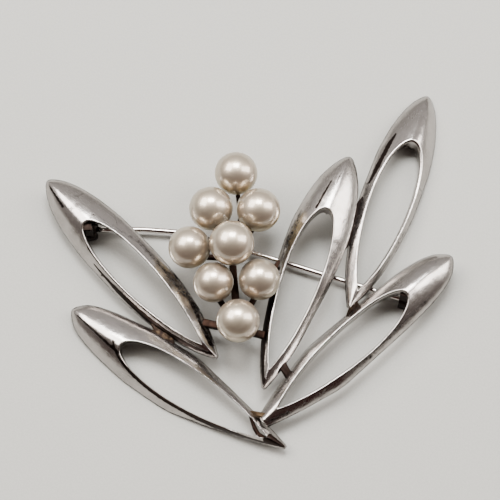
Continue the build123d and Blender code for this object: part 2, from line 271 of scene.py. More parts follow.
def tube_faces(rows, sides, begin=0, joined=False):
    """The faces of a tube whose points come ring by ring: with two caps, or joined up to its start."""
    faces = []
    for row in range(rows if joined else rows - 1):
        near, far = begin + row * sides, begin + (row + 1) % rows * sides
        for side in range(sides):
            ahead = (side + 1) % sides
            faces.append((near + side, near + ahead, far + ahead, far + side))
    if not joined:
        last = begin + (rows - 1) * sides
        faces += [tuple(range(begin, begin + sides)), tuple(range(last, last + sides))]
    return faces


def sharp_over(piece, degrees):
    """Keeps an edge crisp where its faces meet at more than this angle."""
    piece.data.set_sharp_from_angle(angle=radians(degrees))

# %% [markdown]
# ## Sterling silver, cast, filed and polished
# Polished silver shows the room more than itself, so its finish is mostly roughness: a soft polish
# with a grain drawn out along the leaf by the cloth, hairline scratches, shallow dents, and clouds
# where skin has dulled it. Silver also tarnishes brown and black, first beside solder and where a
# cloth can't reach. The mesh carries a value that says where it goes dark: tarnish, and on the leaves
# also painted shade and painted reflections of the dark room. A speckled noise decides how it breaks up.

# %% Silver finishes
def start_material(name):
    material = bpy.data.materials.new(name)
    material.use_nodes = True
    tree = material.node_tree
    return material, partial(add_node, tree), tree.nodes["Principled BSDF"]


# Each noise: the size of its spots in millimetres, how much finer detail it has, and how strong that is.
SILVER_NOISES = {
    "clouds": (3.5, 4.0, 0.6),
    "specks": (0.5, 5.0, 0.75),
    "scratches": (4.5, 2.0, 0.6),
    "patches": (1.4, 1.0, 0.5),
    "dents": (1.1, 3.0, 0.55),
}
# The marks of a polishing cloth are a few hundredths of a millimetre apart, too fine to show, so each
# finish's grain is drawn several times coarser.
GRAIN_STRETCH = 0.06  # the cloth draws the grain out along a leaf to about 16 times its width
TARNISH_AND_SHADE_REACH = 0.62
TARNISH_AND_SHADE_START, TARNISH_AND_SHADE_FULL = 0.66, 0.92
HAIRLINE = (0.493, 0.498)  # the levels of the scratches' noise between which a scratch fades in
DENT_SHARE = 4.0  # how much deeper a dent is than the grain
RELIEF_MM = 0.02


def silver(name, bright, dull, rough, specks=0.0, grain_mm=0.22, grain=0.25, brushed=False, scratches=0.0):
    """Silver with a bright and a dull colour, a share of tarnish specks and one of hairline scratches."""
    material, add, surface = start_material(name)
    place = lying = add("ShaderNodeTexCoord")["Object"]
    if brushed:
        on_leaf = add("ShaderNodeAttribute", attribute_name="leaf_place")["Vector"]
        lying = add("ShaderNodeMapping", {"Vector": on_leaf, "Scale": (GRAIN_STRETCH, 1.0, 1.0)})[0]
    noises = {}
    rows = {**SILVER_NOISES, "grain": (grain_mm, 4.0 if brushed else 3.0, 0.7)}
    for key, (size_mm, detail, strength) in rows.items():
        noises[key] = add("ShaderNodeTexNoise", {
            "Vector": lying if key == "grain" else place, "Scale": 1 / (size_mm * MM),
            "Detail": detail, "Roughness": strength,
        })["Fac"]

    # Dark specks where the mesh asks for them (tarnish, painted shade and painted reflections), and hairlines
    # along a level line of a slow noise.
    mark = add("ShaderNodeAttribute", attribute_name="tarnish_and_painted_shade")["Fac"]
    edge = add("ShaderNodeMath", (mark, TARNISH_AND_SHADE_REACH, noises["specks"]), operation="MULTIPLY_ADD")[0]
    start, full = TARNISH_AND_SHADE_START - TARNISH_AND_SHADE_REACH * specks, TARNISH_AND_SHADE_FULL - TARNISH_AND_SHADE_REACH * specks
    stains_and_painted_shade = add("ShaderNodeMapRange", (edge, start, full))[0]
    patch = add("ShaderNodeMapRange", (noises["patches"], 0.55, 0.62, 0.0, scratches))[0]
    level = add("ShaderNodeMath", (noises["scratches"], 0.5), operation="PINGPONG")[0]
    line = add("ShaderNodeMapRange", (level, *HAIRLINE, 0.0, patch))[0]
    dark = add("ShaderNodeMath", (stains_and_painted_shade, line), operation="MAXIMUM")[0]

    worn = add("ShaderNodeMapRange", (noises["clouds"], 0.35, 0.7))[0]
    clean = add("ShaderNodeMix", {0: worn, 6: colour(bright), 7: colour(dull)}, data_type="RGBA")[2]
    # The same near-black draws tarnish, painted shade and painted reflections.
    black = {0: noises["grain"], 6: colour("#2e2420"), 7: colour("#0e0b0a")}
    black = add("ShaderNodeMix", black, data_type="RGBA")[2]
    metal = add("ShaderNodeMix", {0: dark, 6: clean, 7: black}, data_type="RGBA")[2]

    dulled = add("ShaderNodeMapRange", (noises["clouds"], 0.3, 0.75, rough * 0.8, rough * 1.3))[0]
    streaks = add("ShaderNodeMapRange", (noises["grain"], 0.3, 0.7, -0.03, 0.06))[0]
    soft = add("ShaderNodeMath", (dulled, streaks), operation="ADD")[0]
    soft = add("ShaderNodeMath", (dark, 0.12, soft), operation="MULTIPLY_ADD")[0]

    height = (noises["dents"], DENT_SHARE, noises["grain"])
    height = add("ShaderNodeMath", height, operation="MULTIPLY_ADD")[0]
    height = add("ShaderNodeMath", (dark, -0.5, height), operation="MULTIPLY_ADD")[0]
    bump = {"Height": height, "Strength": grain, "Distance": RELIEF_MM * MM}
    bump = add("ShaderNodeBump", bump)["Normal"]
    fill(surface, {"Base Color": metal, "Metallic": 1.0, "Roughness": soft, "Normal": bump})
    return material


# The leaves: a soft, slightly blurred mirror, drawn out along the leaf.
polished_silver = silver("polished_sterling_silver", "#b4afac", "#9b9692", 0.21,
                         grain_mm=0.16, grain=0.3, brushed=True, scratches=0.6)
# The stem and the cups: dark brown and rough, so the pearls stand out against it.
stem_silver = silver("oxidised_sterling_silver", "#2e201a", "#1b130f", 0.52, 0.35, grain_mm=0.3, grain=0.8)
# The joints between leaves: yellower and duller than the leaves, as solder is.
solder_silver = silver("hard_silver_solder", "#524434", "#30261c", 0.50, 0.18, grain_mm=0.35, grain=0.9)
# The hinge, the catch, the pin's eye and the rivet, in the shade under the leaves: painted nearly black, as
# painted shade.
painted_shade_silver = silver("shade_painted_sterling_silver", "#211b18", "#141110", 0.42, 0.5)
# The pin: the brightest and smoothest, with one clear streak of light along it.
wire_silver = silver("drawn_silver_wire", "#d2ccc8", "#b2a9a4", 0.14, grain_mm=0.3)
print("silver finishes:", [m.name for m in bpy.data.materials if "silver" in m.name])

# %% [markdown]
# ## A leaf
# The real leaf is a hollow casting: two slopes that meet in a soft ridge, an opening with a filed
# edge, and a thin wall that turns down all round. Here its cross section is one closed loop of points.
# It starts under the outer edge, climbs over the face, rolls over the opening's filed edge, goes down
# its wall and back under the face. That loop is carried once round the opening, like a bent tube, so
# the mesh is all quads, closed, and fine where the light bends. A little slow noise keeps the face
# hand-made. Dark marks sit on top. Short ones at joints and ends are tarnish; the long dark bands along
# some arms and the dark lines beside the ridges are painted reflections of the dark room that those
# faces mirror. The foot of every wall is painted darker as well, as painted shade near the table. A
# table holds the marks, as the finish only knows how they look, not where they are.

# %% Dark marks on the leaves: tarnish, and painted reflections
# Each mark runs from one place to another. With hand 0, along is a share of the leaf, and across goes
# from -1 at its right edge to 1 at its left. With 1 or -1 it is a band on the left or the right arm:
# along is 0 at the opening's round end and 1 at its point, across is 0 at the outline and 1 at the
# opening. reach: half its breadth as a share of LEAF_WIDTH. depth: 1 is black, 0.3 a few specks.
MARK_COLUMNS = (
    "hand", "from_along", "from_across", "from_reach", "to_along", "to_across", "to_reach", "depth",
)
# Some rows are tarnish at joints and ends; the long bands on the arms and the lines beside the ridges are
# painted reflections.
MARK_ROWS = {
    "upper_left": (
        (0, 0.03, -0.2, 0.016, 0.14, -0.28, 0.026, 1.0),
        (0, 0.072, 0.18, 0.009, 0.092, 0.16, 0.009, 0.7),
        (0, 0.163, 0.24, 0.009, 0.18, 0.29, 0.009, 0.7),
        (0, 0.3, 0.91, 0.007, 0.35, 0.7, 0.005, 0.55),
        (0, 0.442, -0.89, 0.018, 0.446, -0.86, 0.018, 0.9),
        (0, 0.25, 0.4, 0.03, 0.45, 0.8, 0.03, 0.42),
        (0, 0.45, 0.84, 0.04, 0.77, 0.9, 0.06, 0.5),
        (0, 0.78, 0.85, 0.03, 0.95, 0.6, 0.04, 0.7),
        (-1, 0.22, 0.46, 0.01, 0.45, 0.4, 0.04, 1.0),
        (-1, 0.45, 0.4, 0.04, 0.8, 0.32, 0.05, 1.0),
        (-1, 0.8, 0.32, 0.05, 1.0, 0.36, 0.045, 1.0),
        (-1, 0.12, 0.86, 0.01, 0.8, 0.84, 0.014, 0.9),
    ),
    "lower_left": (
        (0, 0.03, -0.1, 0.018, 0.26, -0.3, 0.032, 0.78),
        (0, 0.43, 0.7, 0.009, 0.57, 0.69, 0.009, 0.55),
        (0, 0.92, -0.4, 0.05, 0.99, 0.0, 0.03, 1.0),
        (0, 0.925, 0.3, 0.04, 0.985, 0.15, 0.02, 1.0),
        (-1, 0.0, 0.88, 0.026, 0.14, 0.88, 0.034, 0.95),
        (-1, 0.14, 0.88, 0.034, 0.5, 0.82, 0.036, 1.0),
        (-1, 0.5, 0.82, 0.036, 0.82, 0.42, 0.045, 1.0),
        (-1, 0.82, 0.42, 0.045, 1.0, 0.3, 0.045, 1.0),
    ),
    "centre": (
        (0, 0.132, -0.31, 0.014, 0.26, -0.37, 0.026, 1.0),
        (0, 0.087, -0.03, 0.014, 0.136, -0.05, 0.014, 0.75),
        (0, 0.29, -0.83, 0.05, 0.44, -0.85, 0.05, 0.44),
        (-1, 0.42, 0.4, 0.02, 0.62, 0.38, 0.06, 0.95),
        (-1, 0.62, 0.38, 0.06, 1.0, 0.3, 0.06, 0.95),
    ),
    "upper_right": (
        (0, 0.235, -0.71, 0.016, 0.29, -0.755, 0.038, 1.0),
        (0, 0.29, -0.755, 0.038, 0.4, -0.82, 0.04, 1.0),
        (0, 0.4, -0.82, 0.04, 0.475, -0.87, 0.018, 1.0),
        (0, 0.48, -0.9, 0.045, 0.74, -0.88, 0.055, 0.46),
        (0, 0.413, 0.82, 0.01, 0.414, 0.93, 0.01, 0.8),
        (0, 0.6, 0.93, 0.02, 0.76, 0.9, 0.032, 0.42),
    ),
    "lower_right": (
        (0, 0.2, 0.78, 0.03, 0.57, 0.86, 0.05, 0.46),
        (0, 0.57, 0.82, 0.04, 0.85, 0.66, 0.04, 0.12),
        (0, 0.9, 0.8, 0.03, 0.98, 0.5, 0.03, 0.5),
        (0, 0.3, -0.92, 0.03, 0.6, -0.92, 0.04, 0.36),
    ),
}
MARKS = {name: [dict(zip(MARK_COLUMNS, row)) for row in rows] for name, rows in MARK_ROWS.items()}
# Painted shade: the foot of each leaf's wall is drawn darker, close to the table.
RIM_PAINTED_SHADE = 0.75  # how dark the foot of a leaf's wall is
RIM_HEIGHT = 0.5


def mark_strength(x, y, start, end, depth):
    """How strong a mark is at a point. Each end is a place along, a place across and a reach."""
    way_x, way_y = end[0] - start[0], end[1] - start[1]
    share = ((x - start[0]) * way_x + (y - start[1]) * way_y) / (way_x ** 2 + way_y ** 2)
    share = min(1.0, max(0.0, share))
    away = hypot(x - start[0] - share * way_x, y - start[1] - share * way_y)
    reach = start[2] + (end[2] - start[2]) * share
    return depth * exp(-((away / reach) ** 4))


def mark_lines(name, hand, arm_reach=0.0):
    """The marks of a whole leaf, or of one arm of this breadth, in millimetres: two ends and a depth."""
    lines = []
    for mark in MARKS[name]:
        if mark["hand"] != hand:
            continue
        ends = []
        for end in ("from", "to"):
            along, across, reach = (mark[end + key] for key in ("_along", "_across", "_reach"))
            spot = (along * OPENING_LENGTH, across * arm_reach)
            if hand == 0:
                spot = (along * LEAF_LENGTH, across * half_width(name, along))
            ends.append((*spot, reach * LEAF_WIDTH))
        lines.append((*ends, mark["depth"]))
    return lines


print("marks:", sum(len(rows) for rows in MARKS.values()))

# %% The leaf's mesh
ARM_STEPS = 260
# How far round the opening, and the place on the leaf's outline that is joined to it.
ROUND_PLACES = (0.0, 0.004, 0.02, 0.05, 0.10, 0.18, 0.30, 0.45, 0.60, 0.75, 0.87, 0.95, 1.0)
OUTLINE_PLACES = (0.0, 0.055, 0.125, 0.19, 0.27, 0.345, 0.44, 0.545, 0.65, 0.765, 0.875, 0.955, 1.0)
FACE_STEPS = 26
FACE_PLACES = [1 - (1 - step / FACE_STEPS) ** 1.3 for step in range(1, FACE_STEPS)]
BEVEL_STEPS = 5
CEILING_STEPS = 6
FOOT = [(0.10, 0.0), (0.03, 0.03), (0.0, 0.10)]  # the rounded lower edge: in from the outline, and up
# The casting is hollow where an arm is wide enough, in mm, and not at its blunt end or in its tip.
HOLLOW_REACH = (1.5, 2.1)
SOLID_END = (0.0, 0.04)
SOLID_TIP = (0.72, 0.82)
SWAYS = ((0.35, (0, 0, 0), 0.05), (1.1, (7, 3, 1), 0.015))  # how often, from where, and how far in mm


def section_loop(name, outer, inner, outer_share):
    """One closed loop of a leaf's wall, between a point of its outline and a point of its opening."""
    way = Vector(inner) - Vector(outer)
    reach = way.length
    way.normalize()
    bevel = min(LEAVES[name]["bevel"], reach * 0.3)

    def spot(off):
        return outer[0] + way.x * off, outer[1] + way.y * off

    def height(off):
        x, y = spot(off)
        return dome_height(name, x / LEAF_LENGTH, y)

    hollow = ease(*HOLLOW_REACH, reach) * ease(*SOLID_END, outer_share) * (1 - ease(*SOLID_TIP, outer_share))
    lip = LIP_FLOOR * hollow
    wall_in = min(LEAF_WALL, reach * 0.45)
    lip_out = max(reach - LIP_WIDTH, reach * 0.55)
    rows = FOOT + [((reach - bevel) * place, None) for place in FACE_PLACES]
    brow = height(reach - bevel)
    drop = min(bevel, brow * 0.5)
    for step in range(BEVEL_STEPS + 1):
        turn = radians(90 * step / BEVEL_STEPS)
        rows.append((reach - bevel + bevel * sin(turn), brow - drop * (1 - cos(turn))))
    foot = brow - drop
    rows += [(reach, foot * 0.66 + lip * 0.34), (reach, foot * 0.33 + lip * 0.67), (reach, lip + 0.06)]
    rows += [(reach - 0.06, lip), (lip_out + 0.02, lip)]
    for step in range(CEILING_STEPS + 1):
        off = lip_out + (wall_in - lip_out) * step / CEILING_STEPS
        rows.append((off, hollow * max(0.0, height(off) - LEAF_WALL)))
    rows.append((wall_in - 0.02, 0.0))
    points = []
    for off, up in rows:
        x, y = spot(off)
        if up is None:
            up = max(0.12, height(off))
        points.append((x, y, up, off))
    return points, reach


def make_leaf(name, material):
    """A leaf's section carried down its left arm and back up its right one."""
    start, along, side, face = leaf_axes(name)
    leaf = LEAVES[name]
    loops = []
    for hand, steps in ((1, range(ARM_STEPS + 1)), (-1, range(ARM_STEPS - 1, 0, -1))):
        for step in steps:
            place = (1 - cos(pi * step / ARM_STEPS)) / 2
            inner_share = OPENING_START + (OPENING_END - OPENING_START) * place
            outer_share = smooth_value(place, ROUND_PLACES, OUTLINE_PLACES)
            edge = 0 if step in (0, ARM_STEPS) else hand * half_width(name, outer_share)
            middle = bow(name, inner_share) + leaf["shift"] * LEAF_WIDTH
            outer = (outer_share * LEAF_LENGTH, bow(name, outer_share) + edge)
            inner = (inner_share * LEAF_LENGTH, middle + hand * opening_half(name, place))
            loop, reach = section_loop(name, outer, inner, outer_share)
            loops.append((loop, place, mark_lines(name, hand, reach)))
    lines = mark_lines(name, 0)
    points, tarnish_and_painted_shade, places = [], [], []
    for loop, place, bands in loops:
        round_mm = place * OPENING_LENGTH
        for x, y, up, off in loop:
            spot = start + along * x + side * y + face * up
            sway = sum(noise.noise(spot * often + Vector(origin)) * far for often, origin, far in SWAYS)
            points.append(spot + face * sway * ease(0.1, 0.8, up))
            across = y - bow(name, x / LEAF_LENGTH)
            # Painted shade at the foot of the wall, then the marks: tarnish, and painted reflections.
            dirt_and_painted_shade = RIM_PAINTED_SHADE * (1 - ease(0.0, RIM_HEIGHT, up))
            for first, last, depth in lines:
                dirt_and_painted_shade = max(dirt_and_painted_shade, mark_strength(x, across, first, last, depth))
            for first, last, depth in bands:
                dirt_and_painted_shade = max(dirt_and_painted_shade, mark_strength(round_mm, off, first, last, depth))
            tarnish_and_painted_shade.append(dirt_and_painted_shade)
            places += [x * MM, y * MM, up * MM]
    faces = tube_faces(len(loops), len(loops[0][0]), joined=True)
    piece = mesh_piece(name + "_leaf", points, faces, material, {"tarnish_and_painted_shade": tarnish_and_painted_shade})
    piece.data.attributes.new("leaf_place", "FLOAT_VECTOR", "POINT").data.foreach_set("vector", places)
    return piece


leaf_pieces = [make_leaf(name, polished_silver) for name in LEAVES]
print("a leaf has", len(leaf_pieces[0].data.polygons) * 2, "triangles")

# %% [markdown]
# ## Stem, cups and solder
# The pearls stand on a cast stem with side arms. Under each one is a small cup with a peg, which the
# drilled pearl is glued onto. Each cup is the same, so Geometry Nodes set one cup and one post on
# every seat. The rods follow lines, so a second tree gives each line its own thickness.

# %% Seats and lines
PEG_RADIUS = 0.4
CUP_RADIUS = 1.55
CUP_FLOOR = 0.4
CUP_RIM = 0.3
CUP_HEIGHT = 0.9 * (CUP_FLOOR + CUP_RIM)
PEG_LENGTH = 2.2
POST_SINK = 0.05  # how far a post reaches into the stem
STEM_HEIGHT = 3.1
STEM_WIDTH = 1.1
STEM_DEPTH = 0.9
BRANCH_RADIUS = 0.45
STRUT_RADIUS = 0.55
ROD_CUT = 0.4


def pearl_radius(name):
    return PEARLS[name]["size"] * PEARL_DIAMETER / 2


def seat_point(name):
    """The lowest point of a pearl."""
    pearl = PEARLS[name]
    return Vector((
        CLUSTER[0] + pearl["across"] * PEARL_DIAMETER,
        CLUSTER[1] + pearl["away"] * PEARL_DIAMETER,
        PEARL_BED + pearl["lift"] * PEARL_DIAMETER,
    ))


def stem_point(name):
    seat = seat_point(name)
    return Vector((seat.x, seat.y, STEM_HEIGHT))


def edge_point(name, share, hand):
    """A point inside the lower wall of a leaf, on its left (1) or its right (-1)."""
    return leaf_spot(name, share, hand * (half_width(name, share) - LEAF_WALL * 0.6), LEAF_WALL * 0.4)


print("lowest seat:", round(min(seat_point(name).z for name in PEARLS), 2), "mm up")

# %% Starting, ending and running a Geometry Nodes tree
def start_tree(name, inputs):
    """A Geometry Nodes tree with a geometry and named numbers coming in, and a geometry going out."""
    tree = bpy.data.node_groups.new(name, "GeometryNodeTree")
    tree.interface.new_socket("Geometry", in_out="INPUT", socket_type="NodeSocketGeometry")
    for key in inputs:
        tree.interface.new_socket(key, in_out="INPUT", socket_type="NodeSocketFloat")
    tree.interface.new_socket("Geometry", in_out="OUTPUT", socket_type="NodeSocketGeometry")
    add = partial(add_node, tree)
    return tree, add, add("NodeGroupInput")


def end_tree(add, geometry, material):
    """Makes the instances real, gives them their material and sends them out."""
    real = add("GeometryNodeRealizeInstances", (geometry,))[0]
    coated = add("GeometryNodeSetMaterial", {"Geometry": real, "Material": material})[0]
    add("NodeGroupOutput", (coated,))


def run_tree(name, tree, points, edges, floats, values):
    """Runs a tree on points in millimetres and returns its result as a plain mesh object."""
    mesh = bpy.data.meshes.new(name + "_guide")
    mesh.from_pydata([Vector(p) * MM for p in points], edges, [])
    for key, numbers in floats.items():
        mesh.attributes.new(key, "FLOAT", "POINT").data.foreach_set("value", [n * MM for n in numbers])
    guide = put_in_scene(name + "_guide", mesh)
    modifier = guide.modifiers.new("made", "NODES")
    modifier.node_group = tree
    for item in tree.interface.items_tree:
        if item.in_out == "INPUT" and item.name in values:
            modifier[item.identifier] = values[item.name] * MM
    depsgraph = bpy.context.evaluated_depsgraph_get()
    result = bpy.data.meshes.new_from_object(guide.evaluated_get(depsgraph), depsgraph=depsgraph)
    bpy.data.objects.remove(guide)
    result.name = name
    print(name, "has", len(result.polygons), "faces")
    return put_in_scene(name, result)


# %% Cups, pegs and posts by Geometry Nodes
def cup_tree(material):
    """A cup, the peg that stands in it and the post under it, on every seat."""
    names = ("cup radius", "cup height", "post radius", "peg radius", "peg length")
    tree, add, inputs = start_tree("cups_on_seats", names)
    cup = add("GeometryNodeMeshCone", {
        "Vertices": 40, "Side Segments": 3, "Radius Top": inputs["cup radius"],
        "Radius Bottom": inputs["post radius"], "Depth": inputs["cup height"],
    }, fill_type="NGON")["Mesh"]
    peg = add("GeometryNodeMeshCylinder", {
        "Vertices": 24, "Side Segments": 2, "Radius": inputs["peg radius"], "Depth": inputs["peg length"],
    }, fill_type="NGON")["Mesh"]
    half = add("ShaderNodeMath", (inputs["peg length"], 0.5), operation="MULTIPLY")[0]
    lift = add("ShaderNodeCombineXYZ", {"Z": half})[0]
    peg = add("GeometryNodeTransform", {"Geometry": peg, "Translation": lift})["Geometry"]
    both = add("GeometryNodeJoinGeometry", {"Geometry": [cup, peg]})["Geometry"]
    cups = {"Points": inputs["Geometry"], "Instance": both}
    cups = add("GeometryNodeInstanceOnPoints", cups)["Instances"]

    # A post of length 1 hangs down from its seat and is stretched to the length that the seat carries.
    post = add("GeometryNodeMeshCylinder", {
        "Vertices": 24, "Side Segments": 4, "Radius": inputs["post radius"], "Depth": 1.0,
    }, fill_type="NGON")["Mesh"]
    post = add("GeometryNodeTransform", {"Geometry": post, "Translation": (0, 0, -0.5)})["Geometry"]
    length = add("GeometryNodeInputNamedAttribute", {"Name": "post"}, data_type="FLOAT")["Attribute"]
    size = add("ShaderNodeCombineXYZ", (1.0, 1.0, length))[0]
    posts = {"Points": inputs["Geometry"], "Instance": post, "Scale": size}
    posts = add("GeometryNodeInstanceOnPoints", posts)["Instances"]
    all_parts = add("GeometryNodeJoinGeometry", {"Geometry": [cups, posts]})["Geometry"]
    end_tree(add, all_parts, material)
    return tree


seats = [seat_point(name) - Z * CUP_FLOOR for name in PEARLS]
posts = [seat.z - STEM_HEIGHT + POST_SINK for seat in seats]
cups = run_tree("pearl_cups", cup_tree(stem_silver), seats, [], {"post": posts}, {
    "cup radius": CUP_RADIUS, "cup height": CUP_HEIGHT, "post radius": BRANCH_RADIUS,
    "peg radius": PEG_RADIUS, "peg length": PEG_LENGTH,
})
sharp_over(cups, 35)

# %% Rods and struts by Geometry Nodes
def rod_tree(material):
    """A round rod along every line, as thick as the attribute thick says."""
    tree, add, inputs = start_tree("rods_on_lines", ("cut length",))
    path = add("GeometryNodeMeshToCurve", {"Mesh": inputs["Geometry"]})["Curve"]
    cut = {"Curve": path, "Length": inputs["cut length"]}
    cut = add("GeometryNodeResampleCurve", cut, mode="LENGTH")["Curve"]
    thick = add("GeometryNodeInputNamedAttribute", {"Name": "thick"}, data_type="FLOAT")["Attribute"]
    ring = add("GeometryNodeCurvePrimitiveCircle", {"Resolution": 20, "Radius": 1.0})["Curve"]
    rod = {"Curve": cut, "Profile Curve": ring, "Scale": thick, "Fill Caps": True}
    rod = add("GeometryNodeCurveToMesh", rod)["Mesh"]
    end_tree(add, rod, material)
    return tree


# The stem's arms, between one pearl's foot and another's.
ARMS = [(f"pearl_{first}", f"pearl_{last}") for first, last in ((4, 5), (2, 5), (3, 5), (6, 8), (7, 8))]
# Struts in the point of the lower left leaf's opening: two places on that leaf, and a share of
# STRUT_RADIUS. A place is a share along the leaf, then millimetres across and up.
STRUTS = (
    ((0.822, 1.35, 0.8), (0.856, 0.25, 0.8), 0.55),
    ((0.856, 0.25, 0.8), (0.884, -0.35, 0.7), 0.60),
    ((0.884, -0.35, 0.7), (0.915, -0.35, 0.5), 0.60),
)
ends = [stem_point(name) for arm in ARMS for name in arm]
ends += [leaf_spot("lower_left", *place) for *places, share in STRUTS for place in places]
thickness = [BRANCH_RADIUS for arm in ARMS for end in arm]
thickness += [share * STRUT_RADIUS for *places, share in STRUTS for place in places]
pairs = [(row, row + 1) for row in range(0, len(ends), 2)]
given = {"cut length": ROD_CUT}
rods = run_tree("stem_rods", rod_tree(stem_silver), ends, pairs, {"thick": thickness}, given)
sharp_over(rods, 50)

# %% [markdown]
# ## Solder between the leaves
# Hard solder runs into the gap where two leaves nearly touch and sets there as a lumpy fillet. Each
# fillet is a short slab between a stretch of one leaf's edge and a stretch of the other's, thick in
# its middle, with a slow noise for the lumps that the torch leaves.

# %% Solder fillets
# For each fillet: two edges, half its thickness in millimetres and how tarnished it is. An edge is a
# leaf, the first and last share of it, and its side. Side 0 is the leaf's middle line.
FILLETS = (
    (("upper_left", 0.70, 0.82, -1), ("lower_left", 0.34, 0.43, 1), 0.30, 0.45),
    (("centre", 0.20, 0.42, 1), ("upper_right", 0.52, 0.73, -1), 0.40, 0.75),
    (("upper_right", 0.93, 0.99, 0), ("lower_right", 0.41, 0.49, -1), 0.55, 0.45),
    (("lower_right", 0.95, 0.985, 0), ("lower_left", 0.80, 0.84, 1), 0.60, 0.10),
    (("centre", 0.865, 0.90, 1), ("lower_right", 0.785, 0.82, -1), 0.40, 0.80),
)
FILLET_STEPS = 28
FILLET_SIDES = 14
LUMP_SHARE = 0.5
ROUGH_MM = 0.10


def fillet_mesh(rows, material):
    """All the fillets as one mesh. Each is a lens-shaped section carried along its two edges."""
    points, faces, dirt_and_painted_shade = [], [], []
    for number, (*edges, thick, tarnish_and_painted_shade) in enumerate(rows):
        begin = len(points)
        for step in range(FILLET_STEPS + 1):
            t = step / FILLET_STEPS
            ends = [edge_point(leaf, first + (last - first) * t, hand) for leaf, first, last, hand in edges]
            taper = sqrt(max(0.02, 1 - (2 * t - 1) ** 4))
            for turn in range(FILLET_SIDES):
                angle = 2 * pi * (turn + 0.5) / FILLET_SIDES
                spot = ends[0].lerp(ends[1], 0.5 - 0.56 * cos(angle))
                lump = 1 + LUMP_SHARE * noise.noise(spot * 1.3 + X * number)
                spot = spot + Z * (thick * taper * lump * sin(angle))
                points.append(spot + Vector(noise.noise_vector(spot * 2.2)) * ROUGH_MM)
                dirt_and_painted_shade.append(tarnish_and_painted_shade)
        faces += tube_faces(FILLET_STEPS + 1, FILLET_SIDES, begin)
    return mesh_piece("solder_fillets", points, faces, material, {"tarnish_and_painted_shade": dirt_and_painted_shade})


fillets = fillet_mesh(FILLETS, solder_silver)
print("solder fillets:", len(FILLETS))

# %% Square stem bars
LONG_EDGE = 1.5
BAR_BEVEL = 0.14
BAR_UNEVEN = 0.05  # how far the casting's surface wanders


def bar_mesh(name, rows, material):
    """Square bars with softened edges. Each row is a start, an end and a width."""
    work = bmesh.new()
    for start, end, width in rows:
        way = end - start
        turn = way.to_track_quat("X", "Z").to_matrix().to_4x4()
        place = Matrix.Translation((start + end) / 2 * MM) @ turn
        size = Matrix.Diagonal((way.length * MM, width * MM, STEM_DEPTH * MM, 1))
        bmesh.ops.create_cube(work, size=1, matrix=place @ size)
    bmesh.ops.subdivide_edges(work, edges=[e for e in work.edges if e.calc_length() > LONG_EDGE * MM], cuts=8)
    sharp = [e for e in work.edges if len(e.link_faces) == 2 and e.calc_face_angle() > 1]
    bmesh.ops.bevel(work, geom=sharp, offset=BAR_BEVEL * MM, segments=3, affect="EDGES", profile=0.5)
    for vert in work.verts:
        vert.co += Vector(noise.noise_vector(vert.co / MM * 0.9)) * BAR_UNEVEN * MM
    return worked_piece(name, work, material)


stem_knee = stem_point("pearl_5").lerp(stem_point("pearl_1"), 0.55) + X * STEM_WIDTH * 0.8
stem = bar_mesh("pearl_stem", (
    (stem_point("pearl_8"), stem_point("pearl_5"), STEM_WIDTH),
    (stem_point("pearl_5"), stem_knee, STEM_WIDTH * 0.6),
    (stem_knee, stem_point("pearl_1"), STEM_WIDTH * 0.6),
    (stem_point("pearl_8"), edge_point("upper_left", 0.86, 1), STEM_WIDTH),
    (stem_point("pearl_8"), edge_point("centre", 0.80, -1), STEM_WIDTH),
    (stem_point("pearl_7"), edge_point("centre", 0.50, -1), STEM_DEPTH),
), stem_silver)
print("stem:", len(stem.data.polygons), "faces")

# %% [markdown]
# ## Pin, rivet and catch
# The pin is drawn wire, work-hardened so that it springs. Its flat eye turns on a rivet between two
# lugs, and its point rests in a hook. The pin is a tube swept along its way, thinner to the point.

# %% The pin's wire
PIN_RADIUS = 0.4
PIN_HEIGHT = 1.3
EYE_RADIUS = 1.05
EYE_WIDTH = 1.0
RIVET_RADIUS = 0.4
LUG_RADIUS = 1.25
LUG_WIDTH = 0.7
LUG_GAP = 0.1
HOOK_WALL = 0.55
HOOK_WIDTH = 1.6
HOOK_INSIDE = 0.52
HINGE_SHARE = 0.256
HINGE_ACROSS = -0.2
CATCH_SHARE = 0.248
PIN_BEND_RADIUS = 20.0
PIN_OVERHANG = 3.0
PIN_POINT_START = 0.4
PIN_BENDS = ((0.17, 0.0), (0.32, -0.012))  # along and across, as shares of the way to the catch

hinge_spot = leaf_spot("upper_left", HINGE_SHARE, HINGE_ACROSS, 0)
catch_spot = leaf_spot("lower_right", CATCH_SHARE, 0, 0)
hinge_centre = Vector((hinge_spot.x, hinge_spot.y, PIN_HEIGHT))
catch_centre = Vector((catch_spot.x, catch_spot.y, PIN_HEIGHT))
span = catch_centre.x - hinge_centre.x
first_bend, second_bend = (hinge_centre + Vector((x * span, y * span, 0)) for x, y in PIN_BENDS)
pin_run = (catch_centre - second_bend).normalized()
pin_end = catch_centre + pin_run * PIN_OVERHANG
pin_shoulder = catch_centre - pin_run * (HOOK_WIDTH / 2 + PIN_POINT_START)
print("pin from", [round(v, 2) for v in hinge_centre], "to", [round(v, 2) for v in pin_end])


def round_corner(before, corner, after, radius, steps):
    """Points on the arc that rounds a corner."""
    a = (before - corner).normalized()
    b = (after - corner).normalized()
    half = a.angle(b) / 2
    cut = radius / tan(half)
    centre = corner + (a + b).normalized() * (radius / sin(half))
    first = (corner + a * cut - centre).normalized()
    last = (corner + b * cut - centre).normalized()
    return [centre + first.slerp(last, step / steps) * radius for step in range(steps + 1)]


PIN_SIDES = 28
PIN_STEPS = 24
POINT_STEPS = 8
POINT_TAPER = 0.7  # the share of its thickness that the wire loses at its very point


